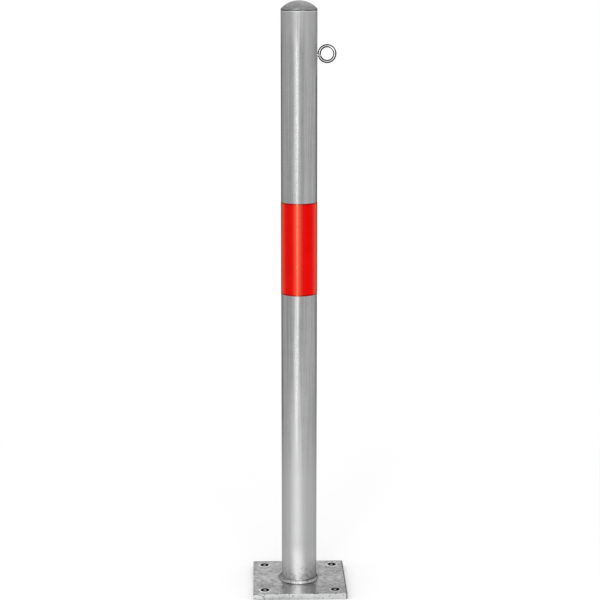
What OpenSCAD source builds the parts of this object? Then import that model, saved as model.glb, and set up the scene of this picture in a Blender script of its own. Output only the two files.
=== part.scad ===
// Bolt-down bollard: a galvanised steel tube welded to a square base plate, with a domed
// end cap, a red reflective band and a bent-wire chain eye near the top.
// The origin is on the tube's axis at the plate's underside, +Z is up, +X points to the eye.

/* [Tube] */
// Outside diameter of the steel tube
tube_d = 60.3; // [50:0.1:90]
// Wall of the steel tube
tube_wall = 2.5; // [2:0.1:4]
// Length of the tube, from the plate's top to the tube's open end
tube_len = 974; // [800:1:1400]
// Rounding of the outer edge at the tube's open end
tube_edge = 0.6; // [0.2:0.1:1]
// Height of the weld bead along the seam inside the tube
seam_h = 0.5; // [0.2:0.1:0.8]
// Width of that bead
seam_w = 3; // [2:0.5:4]

/* [Base plate] */
// Side of the square base plate
plate_w = 160; // [150:1:250]
// Thickness of the base plate
plate_t = 10; // [6:0.5:15]
// Rounding of the plate's four upright corners
plate_corner = 2.5; // [1:0.5:8]
// Rounding of the plate's top and bottom edges
plate_edge = 0.8; // [0.2:0.1:1.5]
// Distance from the plate's edge to a bolt hole's centre
hole_inset = 20; // [14:0.5:24]
// Diameter of the bolt holes
hole_d = 14; // [9:0.5:18]
// Width of the bevel round each hole in the plate
hole_bevel = 0.4; // [0.1:0.1:0.8]
// Diameter of the drain hole in the plate, inside the tube
drain_d = 40; // [15:1:42]

/* [Foot weld] */
// Reach of the weld out over the plate
weld_out = 6; // [4:0.5:8]
// Height of the weld up the tube
weld_up = 5.5; // [4:0.5:8]
// How far the weld's face bulges past a straight slope
weld_bulge = 0.8; // [0.3:0.1:1.5]

/* [End cap] */
// Height of the cap's upright rim
cap_rim = 2.5; // [1.5:0.1:4]
// Bevel under the cap's rim
cap_bevel = 0.6; // [0.2:0.1:1]
// Rise of the dome above the rim
cap_dome = 13.5; // [8:0.5:20]
// Wall of the cap
cap_wall = 2.5; // [2:0.1:4]
// Length of the cap's skirt inside the tube
cap_skirt = 22; // [14:1:32]
// Number of grip ribs round the skirt
rib_count = 8; // [4:1:16]
// Width of one grip rib
rib_w = 1.6; // [1:0.1:2.5]
// Height of the slope at the lower end of each rib
rib_lead = 4; // [2:0.5:8]
// Gap between the skirt and the seam bead
skirt_clear = 0.2; // [0.1:0.05:0.5]
// Gap between the ribs and the tube's wall
rib_clear = 0.05; // [0.02:0.01:0.2]

/* [Reflective band] */
// Height of the band
band_h = 155.5; // [50:0.5:250]
// Height of the band's lower edge above the ground
band_z = 514.5; // [200:0.5:520]
// Thickness of the film
film_t = 0.4; // [0.2:0.05:0.8]
// Length of film that overlaps itself at the back
film_lap = 20; // [5:1:40]
// Length of the slope where the film climbs over its own start
film_ramp = 1.5; // [0.5:0.1:4]

/* [Chain eye] */
// Clear width inside the ring
eye_inner_d = 20; // [14:0.5:40]
// Thickness of the wire
wire_d = 5.5; // [4.5:0.1:5.8]
// Distance from the tube's open end down to the ring's centre
eye_drop = 70; // [46:1:200]
// Radius of the bend between shank and ring, along the wire's middle
neck_bend = 3.2; // [3:0.1:5]
// Gap between the ring's free end and its neck
eye_gap = 0.4; // [0.2:0.1:1.5]
// Outside diameter of the shank's thread
thread_d = 6; // [6:0.1:6.5]
// Length of the thread
thread_len = 18; // [12:1:22]
// Bevel at the thread's tip
thread_tip = 0.8; // [0.3:0.1:1.2]
// Gap between the ring and the insert's face
ring_clear = 0.05; // [0.02:0.01:0.5]

/* [Threaded insert] */
// Outside diameter of the insert's barrel
insert_d = 9; // [8.5:0.1:10]
// Length of the insert behind the face of its rim
insert_len = 14; // [10:0.5:20]
// Width that the rim stands out past the barrel all round
rim_out = 0.8; // [0.5:0.1:1.5]
// Height of the rim's face above the tube
rim_proud = 0.3; // [0.1:0.05:1]
// How far the rim's seat is milled below the round wall at the rim's edge
seat_depth = 0.2; // [0.1:0.05:0.5]
// Bevel at the mouth of the thread
mouth_bevel = 0.5; // [0.2:0.1:0.8]
// Width that the crimped fold stands out past the barrel all round
fold_out = 1.6; // [1:0.1:2.5]
// Thickness of the crimped fold
fold_t = 2; // [1:0.1:3]
// Gap round the insert in its hole
insert_clear = 0.1; // [0.05:0.05:0.3]
// Gap between the two threads
thread_clear = 0.05; // [0.02:0.01:0.1]

/* [Hidden] */
$fn = 96;
over = 1; // how far a cutting shape runs past what it cuts

// Colours, as the object shows them
zinc_grey = [0.66, 0.67, 0.68];
weld_grey = [0.60, 0.61, 0.62];
cap_grey = [0.55, 0.56, 0.57];
film_red = [0.89, 0.07, 0.08];
bright_zinc = [0.82, 0.83, 0.84];

// Tube and heights
tube_r = tube_d / 2;
tube_ir = tube_r - tube_wall;
tube_top = plate_t + tube_len;
hole_at = plate_w / 2 - hole_inset;

// The seam bead lies midway between two grip ribs, about opposite the front
rib_pitch = 360 / rib_count;
seam_angle = (floor(90 / rib_pitch) + 0.5) * rib_pitch;
seam_r = (seam_w * seam_w / 4 + seam_h * seam_h) / (2 * seam_h);

// The weld's face is an arc through its two toes
weld_chord = sqrt(weld_out * weld_out + weld_up * weld_up);
weld_r = (weld_chord * weld_chord / 4 + weld_bulge * weld_bulge) / (2 * weld_bulge);
weld_sink = (weld_r - weld_bulge) / weld_chord;

// End cap
dome_r = (tube_r * tube_r + cap_dome * cap_dome) / (2 * cap_dome);
dome_z = cap_rim + cap_dome - dome_r;
skirt_r = tube_ir - seam_h - skirt_clear;
hollow_r = skirt_r - cap_wall;
grip_r = tube_ir - rib_clear;

// Overlap of the film, centred on the back
lap_angle = film_lap / tube_r * 180 / PI;
ramp_angle = film_ramp / tube_r * 180 / PI;
lap_from = 90 - lap_angle / 2;
lap_steps = 16; // straight pieces in the overlap's curve

// Insert: its rim seats on a flat milled just deep enough, its fold grips the round inner wall
wire_r = wire_d / 2;
eye_z = tube_top - eye_drop;
rim_r = insert_d / 2 + rim_out;
seat_r = rim_r + insert_clear;
seat_x = sqrt(tube_r * tube_r - seat_r * seat_r) - seat_depth;
face_x = tube_r + rim_proud;
fold_r = insert_d / 2 + fold_out;
fold_x = sqrt(tube_ir * tube_ir - fold_r * fold_r);

// Ring: its wire's middle turns up from the shank in a quarter bend at its left-most point
ring_r = (eye_inner_d + wire_d) / 2;
neck_x = face_x + ring_clear + wire_r;
screw_z = eye_z - neck_bend;
thread_at = neck_x - neck_bend - seat_x + over;

// The free end stops eye_gap short of the neck's bend, and is cut along a tangent to it
bend_to_ring = ring_r + neck_bend;
end_reach = neck_bend + wire_r + eye_gap;
end_below = acos((bend_to_ring * bend_to_ring + ring_r * ring_r - end_reach * end_reach)
                 / (2 * bend_to_ring * ring_r));
end_x = -ring_r * cos(end_below);
end_z = -ring_r * sin(end_below);
end_slope = atan2(-end_z, -bend_to_ring - end_x);
end_spare = 15; // turn of the wire past the cut, before it is cut

// A rectangle with round corners, centred on the origin
module round_rect(width, height, radius) {
    square([width - 2 * radius, height], center = true);
    square([width, height - 2 * radius], center = true);
    for (side = [-1, 1], end = [-1, 1])
        translate([side * (width / 2 - radius), end * (height / 2 - radius)])
            circle(radius);
}

// A hole along Z with a bevel at both faces of the plate
module plate_hole(diameter) {
    translate([0, 0, -over])
        cylinder(d = diameter, h = plate_t + 2 * over);
    for (face = [0, 1])
        translate([0, 0, face * plate_t])
            mirror([0, 0, face])
                translate([0, 0, -hole_bevel])
                    cylinder(d1 = diameter + 4 * hole_bevel, d2 = diameter, h = 2 * hole_bevel);
}

// Square plate with every edge rounded, four bolt holes and the drain hole
module base_plate() {
    color(zinc_grey)
        difference() {
            translate([0, 0, plate_t / 2])
                intersection() {
                    linear_extrude(plate_t, center = true)
                        round_rect(plate_w, plate_w, plate_corner);
                    rotate([90, 0, 0])
                        linear_extrude(plate_w, center = true)
                            round_rect(plate_w, plate_t, plate_edge);
                    rotate([90, 0, 90])
                        linear_extrude(plate_w, center = true)
                            round_rect(plate_w, plate_t, plate_edge);
                }
            for (x = [-hole_at, hole_at], y = [-hole_at, hole_at])
                translate([x, y, 0])
                    plate_hole(hole_d);
            plate_hole(drain_d);
        }
}

// Section of the seam-welded tube: a ring with the bead left standing inside
module tube_section() {
    difference() {
        circle(tube_r);
        difference() {
            circle(tube_ir);
            rotate(seam_angle)
                translate([tube_ir + seam_r - seam_h, 0])
                    circle(seam_r);
        }
    }
}

// What the rounding takes off the outer edge of the tube's open end
module tube_edge_cut() {
    rotate_extrude()
        translate([tube_r - tube_edge, tube_top - tube_edge])
            difference() {
                square(tube_edge + over);
                circle(tube_edge);
            }
}

// A cylinder along +X at the screw's height
module along_x(from_x, to_x, diameter) {
    translate([from_x, 0, screw_z])
        rotate([0, 90, 0])
            cylinder(d = diameter, h = to_x - from_x);
}

// Tube with a rounded open end, and a seat and a hole for the threaded insert
module post_tube() {
    color(zinc_grey)
        difference() {
            translate([0, 0, plate_t])
                linear_extrude(tube_len)
                    tube_section();
            tube_edge_cut();
            along_x(0, tube_r + over, insert_d + 2 * insert_clear);
            along_x(seat_x, tube_r + over, 2 * seat_r);
        }
}

// Fillet weld all round the tube's foot
module foot_weld() {
    color(weld_grey)
        translate([0, 0, plate_t])
            rotate_extrude()
                intersection() {
                    translate([tube_r, 0])
                        square([2 * weld_out, 2 * weld_up]);
                    translate([tube_r + weld_out / 2 - weld_sink * weld_up,
                               weld_up / 2 - weld_sink * weld_out])
                        circle(weld_r);
                }
}

// Grip ribs round the skirt, each with a slope to lead it into the tube
module grip_ribs() {
    intersection() {
        for (rib = [0 : rib_count - 1])
            rotate(rib * rib_pitch)
                translate([hollow_r, -rib_w / 2, -cap_skirt])
                    cube([tube_r, rib_w, cap_skirt]);
        union() {
            translate([0, 0, -cap_skirt])
                cylinder(r1 = skirt_r, r2 = grip_r, h = rib_lead);
            translate([0, 0, rib_lead - cap_skirt])
                cylinder(r = grip_r, h = cap_skirt - rib_lead);
        }
    }
}

// Upright rim with the dome on it
module cap_head() {
    cylinder(r1 = tube_r - cap_bevel, r2 = tube_r, h = cap_bevel);
    translate([0, 0, cap_bevel])
        cylinder(r = tube_r, h = cap_rim - cap_bevel);
    intersection() {
        translate([0, 0, dome_z])
            sphere(dome_r);
        translate([0, 0, cap_rim])
            cylinder(r = tube_r + over, h = cap_dome + over);
    }
}

// Inside of the cap: straight in the skirt, domed at the top
module cap_hollow() {
    translate([0, 0, -cap_skirt - over])
        cylinder(r = hollow_r, h = cap_skirt + over);
    intersection() {
        translate([0, 0, dome_z])
            sphere(dome_r - cap_wall);
        translate([0, 0, -over])
            cylinder(r = hollow_r, h = cap_rim + cap_dome + over);
    }
}

// Cast cap: the dome covers the tube's end, the ribbed skirt holds it in the bore
module end_cap() {
    color(cap_grey)
        translate([0, 0, tube_top])
            difference() {
                union() {
                    cap_head();
                    translate([0, 0, -cap_skirt])
                        cylinder(r = skirt_r, h = cap_skirt);
                    grip_ribs();
                }
                cap_hollow();
            }
}

// A point of the film's section
function around(radius, angle) = [radius * cos(angle), radius * sin(angle)];

// Second layer of film over the overlap: a slope up from within the first layer, then its end
module film_lap_section() {
    polygon([around(tube_r + film_t / 2, lap_from - ramp_angle),
             for (step = [0 : lap_steps])
                 around(tube_r + 2 * film_t, lap_from + lap_angle * step / lap_steps),
             around(tube_r + film_t / 2, lap_from + lap_angle)]);
}

// Film wrapped once round the tube, overlapping itself at the back
module reflective_band() {
    color(film_red)
        translate([0, 0, band_z])
            linear_extrude(band_h)
                difference() {
                    union() {
                        circle(tube_r + film_t);
                        film_lap_section();
                    }
                    circle(tube_r);
                }
}

// Blind threaded insert, crimped in the tube's wall
module rivet_nut() {
    color(bright_zinc)
        difference() {
            union() {
                along_x(face_x - insert_len, face_x, insert_d);
                along_x(seat_x, face_x, 2 * rim_r);
                along_x(fold_x - fold_t, fold_x, 2 * fold_r);
            }
            along_x(face_x - insert_len - over, face_x + over, thread_d);
            translate([face_x - mouth_bevel, 0, screw_z])
                rotate([0, 90, 0])
                    cylinder(d1 = thread_d, d2 = thread_d + 4 * mouth_bevel, h = 2 * mouth_bevel);
        }
}

// Wire bent along an arc in the XZ plane about the origin, angles counted from +X to +Z
module wire_arc(radius, from_angle, turn) {
    rotate([90, 0, 0])
        rotate(from_angle)
            rotate_extrude(angle = turn)
                translate([radius, 0])
                    circle(wire_r);
}

// The ring's last stretch, from its lowest point to the cut beside the neck
module ring_free_end() {
    difference() {
        wire_arc(ring_r, 270, end_below - end_spare - 90);
        translate([end_x, 0, end_z])
            rotate([0, -end_slope, 0])
                translate([0, -wire_d, -wire_d])
                    cube(2 * wire_d);
    }
}

// Straight shank, turned: plain wire, then the thread at its crests, then a bevelled tip
module shank() {
    bar_r = thread_d / 2 - thread_clear;
    rotate([0, -90, 0])
        rotate_extrude()
            polygon([[0, 0],
                     [wire_r, 0],
                     [wire_r, thread_at],
                     [bar_r, thread_at],
                     [bar_r, thread_at + thread_len - thread_tip],
                     [bar_r - thread_tip, thread_at + thread_len],
                     [0, thread_at + thread_len]]);
}

// Shank, neck and most of the ring, seen from where the neck turns into the ring
module bent_wire() {
    translate([ring_r, 0, 0])
        wire_arc(ring_r, -90, 270);
    translate([-neck_bend, 0, 0])
        wire_arc(neck_bend, -90, 90);
    translate([-neck_bend, 0, -neck_bend])
        shank();
}

// Chain eye bent from one wire
module eye_bolt() {
    color(bright_zinc)
        translate([neck_x, 0, eye_z]) {
            bent_wire();
            translate([ring_r, 0, 0])
                ring_free_end();
        }
}

base_plate();
post_tube();
foot_weld();
end_cap();
reflective_band();
rivet_nut();
eye_bolt();
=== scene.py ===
# %% [markdown]
# # A bolt-down bollard
# A slim galvanised steel post stands on a square plate with four bolt holes. A weld runs
# round its foot, a domed cap closes its top, a red reflective band is stuck round its
# middle, and a chain eye of bent wire is screwed into an insert near the top.
#
# The solids of the part come in first, as a frame that fixes every size and place. Each
# piece is then made again with the finish of the real one, and stands for its solid.

# %% The frame
import math

import bmesh
import bpy
import numpy as np
from mathutils import Matrix, Vector, noise


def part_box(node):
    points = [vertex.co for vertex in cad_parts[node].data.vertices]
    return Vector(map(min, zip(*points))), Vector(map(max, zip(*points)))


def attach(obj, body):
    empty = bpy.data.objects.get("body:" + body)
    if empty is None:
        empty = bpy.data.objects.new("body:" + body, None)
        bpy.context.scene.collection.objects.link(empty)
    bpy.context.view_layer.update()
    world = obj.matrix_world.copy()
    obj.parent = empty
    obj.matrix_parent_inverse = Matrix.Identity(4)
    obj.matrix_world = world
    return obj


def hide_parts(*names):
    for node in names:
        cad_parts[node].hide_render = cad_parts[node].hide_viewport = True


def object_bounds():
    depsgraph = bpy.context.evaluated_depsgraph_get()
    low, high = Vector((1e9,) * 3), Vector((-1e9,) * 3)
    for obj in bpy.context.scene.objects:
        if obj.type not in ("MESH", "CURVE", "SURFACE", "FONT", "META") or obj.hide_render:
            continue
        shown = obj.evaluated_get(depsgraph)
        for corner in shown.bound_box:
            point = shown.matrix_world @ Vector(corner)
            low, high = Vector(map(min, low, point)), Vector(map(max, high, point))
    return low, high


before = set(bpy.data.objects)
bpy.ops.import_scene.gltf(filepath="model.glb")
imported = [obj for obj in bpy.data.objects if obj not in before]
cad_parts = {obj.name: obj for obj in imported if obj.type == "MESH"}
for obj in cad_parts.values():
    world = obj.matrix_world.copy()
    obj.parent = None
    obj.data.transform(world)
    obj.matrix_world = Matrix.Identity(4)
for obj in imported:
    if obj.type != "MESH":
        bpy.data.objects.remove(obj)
cad_low, cad_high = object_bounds()
print("solids:", sorted(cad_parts), "height", round(cad_high.z - cad_low.z, 4))

# %% [markdown]
# The sizes are the ones that the solids were built from, in metres. Those that a solid's
# box shows are read from it, so that a change of size in the part is followed here.

# %% Sizes
mm = 0.001
plate_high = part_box("base_plate")[1]
tube_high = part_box("post_tube")[1]
eye_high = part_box("eye_bolt")[1]
band_low, band_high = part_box("reflective_band")
insert_low, insert_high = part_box("rivet_nut")
plate_half, plate_t = plate_high[0], plate_high[2]
tube_r, tube_top = tube_high[1], tube_high[2]
tube_wall = 2.5 * mm
tube_ir = tube_r - tube_wall
post_top = cad_high.z
wire_r = 2.75 * mm
eye_inner_r = 10 * mm
ring_r = eye_inner_r + wire_r
eye_z = eye_high[2] - wire_r - ring_r
ring_x = eye_high[0] - wire_r - ring_r
neck_bend = 3.2 * mm
screw_z = eye_z - neck_bend
hole_r, hole_inset = 7 * mm, 20 * mm
hole_at = plate_half - hole_inset
print("plate", round(2 * plate_half, 4), "tube", round(2 * tube_r, 4), "ring at",
      round(ring_x, 4), round(eye_z, 4))

# %% [markdown]
# A few helpers serve the whole script. They add a node, fill its sockets with numbers or
# with other nodes' outputs, and give the sums that masks are made of. Two more make an
# object from points and faces.

# %% Helpers for nodes and meshes
def node(tree, kind, values=None, **settings):
    """A new node with its settings, its sockets filled with constants or links."""
    made = tree.nodes.new(kind)
    for name, value in settings.items():
        setattr(made, name, value)
    for key, value in (values or {}).items():
        if isinstance(value, bpy.types.NodeSocket):
            tree.links.new(value, made.inputs[key])
        else:
            made.inputs[key].default_value = value
    return made


def sums(tree, operation, first, second=0.0, third=0.0):
    """The output of one Math node."""
    return node(tree, "ShaderNodeMath", {0: first, 1: second, 2: third},
                operation=operation).outputs[0]


def times(tree, *values):
    """The product of several values."""
    product = values[0]
    for value in values[1:]:
        product = sums(tree, "MULTIPLY", product, value)
    return product


def spread(tree, value, low, high, to_low, to_high):
    """A value stretched from one range to another, and held inside it."""
    made = node(tree, "ShaderNodeMapRange", {"Value": value, "From Min": low, "From Max": high,
                                             "To Min": to_low, "To Max": to_high})
    return made.outputs["Result"]


def off(tree, value, centre=0.0):
    """How far a value lies from a centre, on either side."""
    return sums(tree, "ABSOLUTE", sums(tree, "SUBTRACT", value, centre))


def radius_of(tree, across, along):
    """The length of a flat vector."""
    return sums(tree, "SQRT", sums(tree, "MULTIPLY_ADD", across, across,
                                   sums(tree, "MULTIPLY", along, along)))


def axes(tree, place):
    """The three coordinates of a place."""
    return node(tree, "ShaderNodeSeparateXYZ", {0: place}).outputs


def set_stops(ramp, stops):
    """Fills a Color Ramp with greys: (position, level) pairs, from 0 to 1."""
    for position, _ in stops[1:-1]:
        ramp.color_ramp.elements.new(position)
    for stop, (position, level) in zip(ramp.color_ramp.elements, stops):
        stop.position = position
        stop.color = (level, level, level, 1)


def new_object(name, data):
    """An object of the given data, in the scene."""
    made = bpy.data.objects.new(name, data)
    bpy.context.scene.collection.objects.link(made)
    return made


def mesh_object(name, points, faces=()):
    """An object with a mesh of points and faces."""
    mesh = bpy.data.meshes.new(name)
    mesh.from_pydata([tuple(p) for p in points], [], [tuple(f) for f in faces])
    return new_object(name, mesh)


# %% [markdown]
# ## The camera
# The photograph was taken with a long lens, level with the top of the post and slightly
# to its left, looking down. So the plate shows its top and the cap hardly any.

# %% Camera
camera_data = bpy.data.cameras.new("Camera")
camera_data.sensor_width = 36
camera_data.lens = 92.82
camera_data.clip_end = 60
camera = new_object("Camera", camera_data)
camera.location = (-0.0757, -2.5645, 0.9944)
turn_right, look_down = math.radians(1.726), math.radians(10.844)
camera.rotation_euler = (math.pi / 2 - look_down, 0, -turn_right)
bpy.context.scene.camera = camera
bpy.context.scene.view_settings.view_transform = "Standard"
print("camera", tuple(camera.location), "lens", camera_data.lens)

# %% [markdown]
# ## The studio
# Polished metal shows mostly what stands round it, so the surroundings matter as much as
# the lamps. A node group gives the brightness of the room in each direction, which only
# glossy rays see. The camera sees plain white there. The room is brighter than white in
# front, towards the lamp, and dark in a strip on each side behind the post, which draws the
# dark lines along the tube's outline. Higher up it turns lighter and even.

# %% The room's brightness
# Each stop is a direction round the post, from behind over the left and the front (0.5)
# and the right to behind again, and the brightness there.
room_stops = [(0.0, 0.55), (0.03, 0.45), (0.07, 0.2), (0.10, 0.35), (0.13, 0.75),
              (0.17, 0.84), (0.30, 0.80), (0.385, 0.84), (0.395, 1.0), (0.41, 1.4),
              (0.44, 1.5), (0.47, 1.6), (0.49, 1.3), (0.508, 0.95), (0.525, 0.82),
              (0.56, 0.88), (0.60, 1.02), (0.66, 1.0), (0.82, 0.94), (0.87, 0.7),
              (0.91, 0.2), (0.93, 0.06), (0.97, 0.1), (1.0, 0.5)]


def room_group():
    """A node group: direction in, brightness of the room in that direction out."""
    tree = bpy.data.node_groups.new("Room", "ShaderNodeTree")
    tree.interface.new_socket("Direction", in_out="INPUT", socket_type="NodeSocketVector")
    tree.interface.new_socket("Brightness", in_out="OUTPUT", socket_type="NodeSocketFloat")
    source = node(tree, "NodeGroupInput")
    unit = node(tree, "ShaderNodeVectorMath", {0: source.outputs[0]}, operation="NORMALIZE")
    side, depth, height = axes(tree, unit.outputs[0])
    angle = sums(tree, "ARCTAN2", side, sums(tree, "MULTIPLY", depth, -1.0))
    ramp = node(tree, "ShaderNodeValToRGB",
                {"Fac": spread(tree, angle, -math.pi, math.pi, 0, 1)})
    set_stops(ramp, room_stops)
    to_white = sums(tree, "SUBTRACT", 1.0, ramp.outputs["Color"])
    dark_rise = times(tree, spread(tree, height, 0.10, 0.28, 0, 1), 0.6,
                      sums(tree, "MAXIMUM", to_white, 0.0))
    bright_fall = times(tree, spread(tree, height, 0.45, 0.6, 0, 1),
                        sums(tree, "MINIMUM", to_white, 0.0))
    level = sums(tree, "ADD", dark_rise, ramp.outputs["Color"])
    node(tree, "NodeGroupOutput", {0: sums(tree, "ADD", bright_fall, level)})
    return tree


room = room_group()
print("room nodes", len(room.nodes))

# %% World
world = bpy.data.worlds.new("Studio")
bpy.context.scene.world = world
world.use_nodes = True
world_tree = world.node_tree
world_tree.nodes.clear()
ambient = 0.985


def seen_or_mirrored(tree, direction, otherwise):
    """White for the camera, the room for mirrors and glass, another level for the rest."""
    path = node(tree, "ShaderNodeLightPath")
    around = node(tree, "ShaderNodeGroup", {}, node_tree=room)
    tree.links.new(direction, around.inputs[0])
    shiny = sums(tree, "MAXIMUM", path.outputs["Is Glossy Ray"],
                 path.outputs["Is Transmission Ray"])
    extra = sums(tree, "SUBTRACT", around.outputs[0], otherwise)
    level = sums(tree, "MULTIPLY_ADD", shiny, extra, otherwise)
    to_white = sums(tree, "SUBTRACT", 1.0, level)
    return sums(tree, "MULTIPLY_ADD", path.outputs["Is Camera Ray"], to_white, level)


world_place = node(world_tree, "ShaderNodeTexCoord").outputs["Generated"]
world_light = node(world_tree, "ShaderNodeBackground",
                   {"Strength": seen_or_mirrored(world_tree, world_place, ambient),
                    "Color": (1, 1, 1, 1)})
node(world_tree, "ShaderNodeOutputWorld", {"Surface": world_light.outputs[0]})
print("world level for matt surfaces", ambient)

# %% [markdown]
# The floor is matt and pale close to the post, where it has to catch its shadow. Farther
# out it turns into plain white for the camera, so that no horizon shows. Under the plate
# it is painted dark as shadow, so that the open holes look deep.
#
# A smooth studio floor also mirrors the tall lamp. That gleam is a wedge of light on the
# floor in front, which only glossy rays see: it brightens the weld and the tube's foot.

# %% Floor
floor_half = 20
strip_turn = math.radians(14.4)
floor = mesh_object("floor", [(-floor_half, -floor_half, 0), (floor_half, -floor_half, 0),
                              (floor_half, floor_half, 0), (-floor_half, floor_half, 0)],
                    [(0, 1, 2, 3)])
paper = bpy.data.materials.new("Paper")
paper.use_nodes = True
paper_tree = paper.node_tree
paper_tree.nodes.clear()
paper_place = node(paper_tree, "ShaderNodeTexCoord").outputs["Object"]
paper_reach = node(paper_tree, "ShaderNodeVectorMath", {0: paper_place},
                   operation="LENGTH").outputs["Value"]
paper_sides = node(paper_tree, "ShaderNodeVectorMath", {0: paper_place},
                   operation="ABSOLUTE").outputs[0]
paper_x, paper_y, _ = axes(paper_tree, paper_sides)
# Pale paper, painted dark under the plate as its shadow.
paper_white_and_painted_shadow = spread(paper_tree, sums(paper_tree, "MAXIMUM", paper_x, paper_y),
                     plate_half - 4 * mm, plate_half - 2 * mm, 0.03, 0.96)
paper_matt = node(paper_tree, "ShaderNodeBsdfDiffuse", {"Color": paper_white_and_painted_shadow})
paper_glow = node(paper_tree, "ShaderNodeEmission",
                  {"Strength": seen_or_mirrored(paper_tree, paper_place, ambient),
                   "Color": (1, 1, 1, 1)})
paper_far = spread(paper_tree, paper_reach, 0.5, 1.1, 0, 1)
paper_mix = node(paper_tree, "ShaderNodeMixShader", {0: paper_far, 1: paper_matt.outputs[0],
                                                    2: paper_glow.outputs[0]})
to_lamp = node(paper_tree, "ShaderNodeVectorRotate",
               {"Vector": paper_place, "Angle": strip_turn}, rotation_type="Z_AXIS")
lamp_x, lamp_y, _ = axes(paper_tree, to_lamp.outputs[0])
beside_lamp = sums(paper_tree, "ABSOLUTE", sums(paper_tree, "DIVIDE", lamp_x, lamp_y))
gleam = times(paper_tree, spread(paper_tree, beside_lamp, 0.1, 0.85, 1.4, 0),
              spread(paper_tree, paper_reach, 0.10, 0.115, 0, 1),
              sums(paper_tree, "LESS_THAN", lamp_y, 0.0),
              spread(paper_tree, paper_reach, 1.0, 1.3, 1, 0),
              node(paper_tree, "ShaderNodeLightPath").outputs["Is Glossy Ray"])
paper_gleam = node(paper_tree, "ShaderNodeEmission", {"Strength": gleam})
paper_all = node(paper_tree, "ShaderNodeAddShader", {0: paper_mix.outputs[0],
                                                    1: paper_gleam.outputs[0]})
node(paper_tree, "ShaderNodeOutputMaterial", {"Surface": paper_all.outputs[0]})
floor.data.materials.append(paper)
print("floor", 2 * floor_half, "m wide")

# %% [markdown]
# A tall strip lamp stands in front and a little to the left. Its narrow image runs down
# the whole tube as one bright line. A soft square lamp above lights the cap and the plate.

# %% Lamps
def area_lamp(name, place, target, width, height, watts):
    """A rectangular lamp that faces its target and isn't seen by the camera."""
    lamp = bpy.data.lights.new(name, "AREA")
    lamp.shape = "RECTANGLE"
    lamp.size, lamp.size_y, lamp.energy = width, height, watts
    made = new_object(name, lamp)
    made.location = place
    aim = Vector(target) - Vector(place)
    made.rotation_euler = aim.to_track_quat("-Z", "Y").to_euler()
    made.visible_camera = False
    return made


strip_away, strip_middle = 1.3, 0.75
area_lamp("strip", (-strip_away * math.sin(strip_turn), -strip_away * math.cos(strip_turn),
                    strip_middle), (0, 0, strip_middle), 0.09, 1.5, 1.5)
area_lamp("top", (0, -0.95, 2.1), (0, 0, 1), 0.9, 0.9, 5)

# %% [markdown]
# ## Finishes
# Hot-dip zinc is a dull metal with a faint crystal pattern and cloudy patches, and along a
# drawn tube it also keeps long streaks. All of it is a metallic Principled shader. Noise on
# Object coordinates varies its grey, its roughness and, through Bump, its grain, so the
# pattern stays with the piece. What is special to one piece, such as a stain or a bright
# cut end, is a mark: a mask from the same coordinates and a grey that it blends in. Some
# marks stand for light that falls on the piece in the photograph, and they stay in their
# place in every view. Real lamps would be the better way to make those.

# %% Zinc
def finish(name):
    """A new material with its tree, shader and Object coordinates."""
    material = bpy.data.materials.new(name)
    material.use_nodes = True
    tree = material.node_tree
    tree.nodes.clear()
    shader = node(tree, "ShaderNodeBsdfPrincipled")
    node(tree, "ShaderNodeOutputMaterial", {"Surface": shader.outputs[0]})
    place = node(tree, "ShaderNodeTexCoord").outputs["Object"]
    return material, tree, shader, place


def cloud(tree, place, scale, detail=3.0, stretch=(1, 1, 1), rough=0.55):
    """Noise, stretched by a Mapping node where the pattern has a direction."""
    if stretch != (1, 1, 1):
        place = node(tree, "ShaderNodeMapping", {"Vector": place, "Scale": stretch}).outputs[0]
    made = node(tree, "ShaderNodeTexNoise", {"Vector": place, "Scale": scale, "Detail": detail,
                                             "Roughness": rough})
    return made.outputs["Fac"]


def blotches(tree, place, scale, low, high, detail=2, most=1.0, least=0.0, stretch=(1, 1, 1)):
    """A mask of noise: least below the low value, most above the high one."""
    return spread(tree, cloud(tree, place, scale, detail, stretch), low, high, least, most)


def cool(level):
    """The faintly blue grey of zinc, at a level between 0 and 1."""
    return (level, level + 0.001, level + 0.004)


def blend(tree, share, base, other):
    """A share of another colour over a base. A single number stands for a plain grey."""
    made = node(tree, "ShaderNodeMix", data_type="RGBA")
    for socket, value in ((0, share), (6, base), (7, other)):
        if isinstance(value, bpy.types.NodeSocket):
            tree.links.new(value, made.inputs[socket])
        else:
            value = value if isinstance(value, tuple) else (value, value, value)
            made.inputs[socket].default_value = (*value, 1)
    return made.outputs[2]


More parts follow.
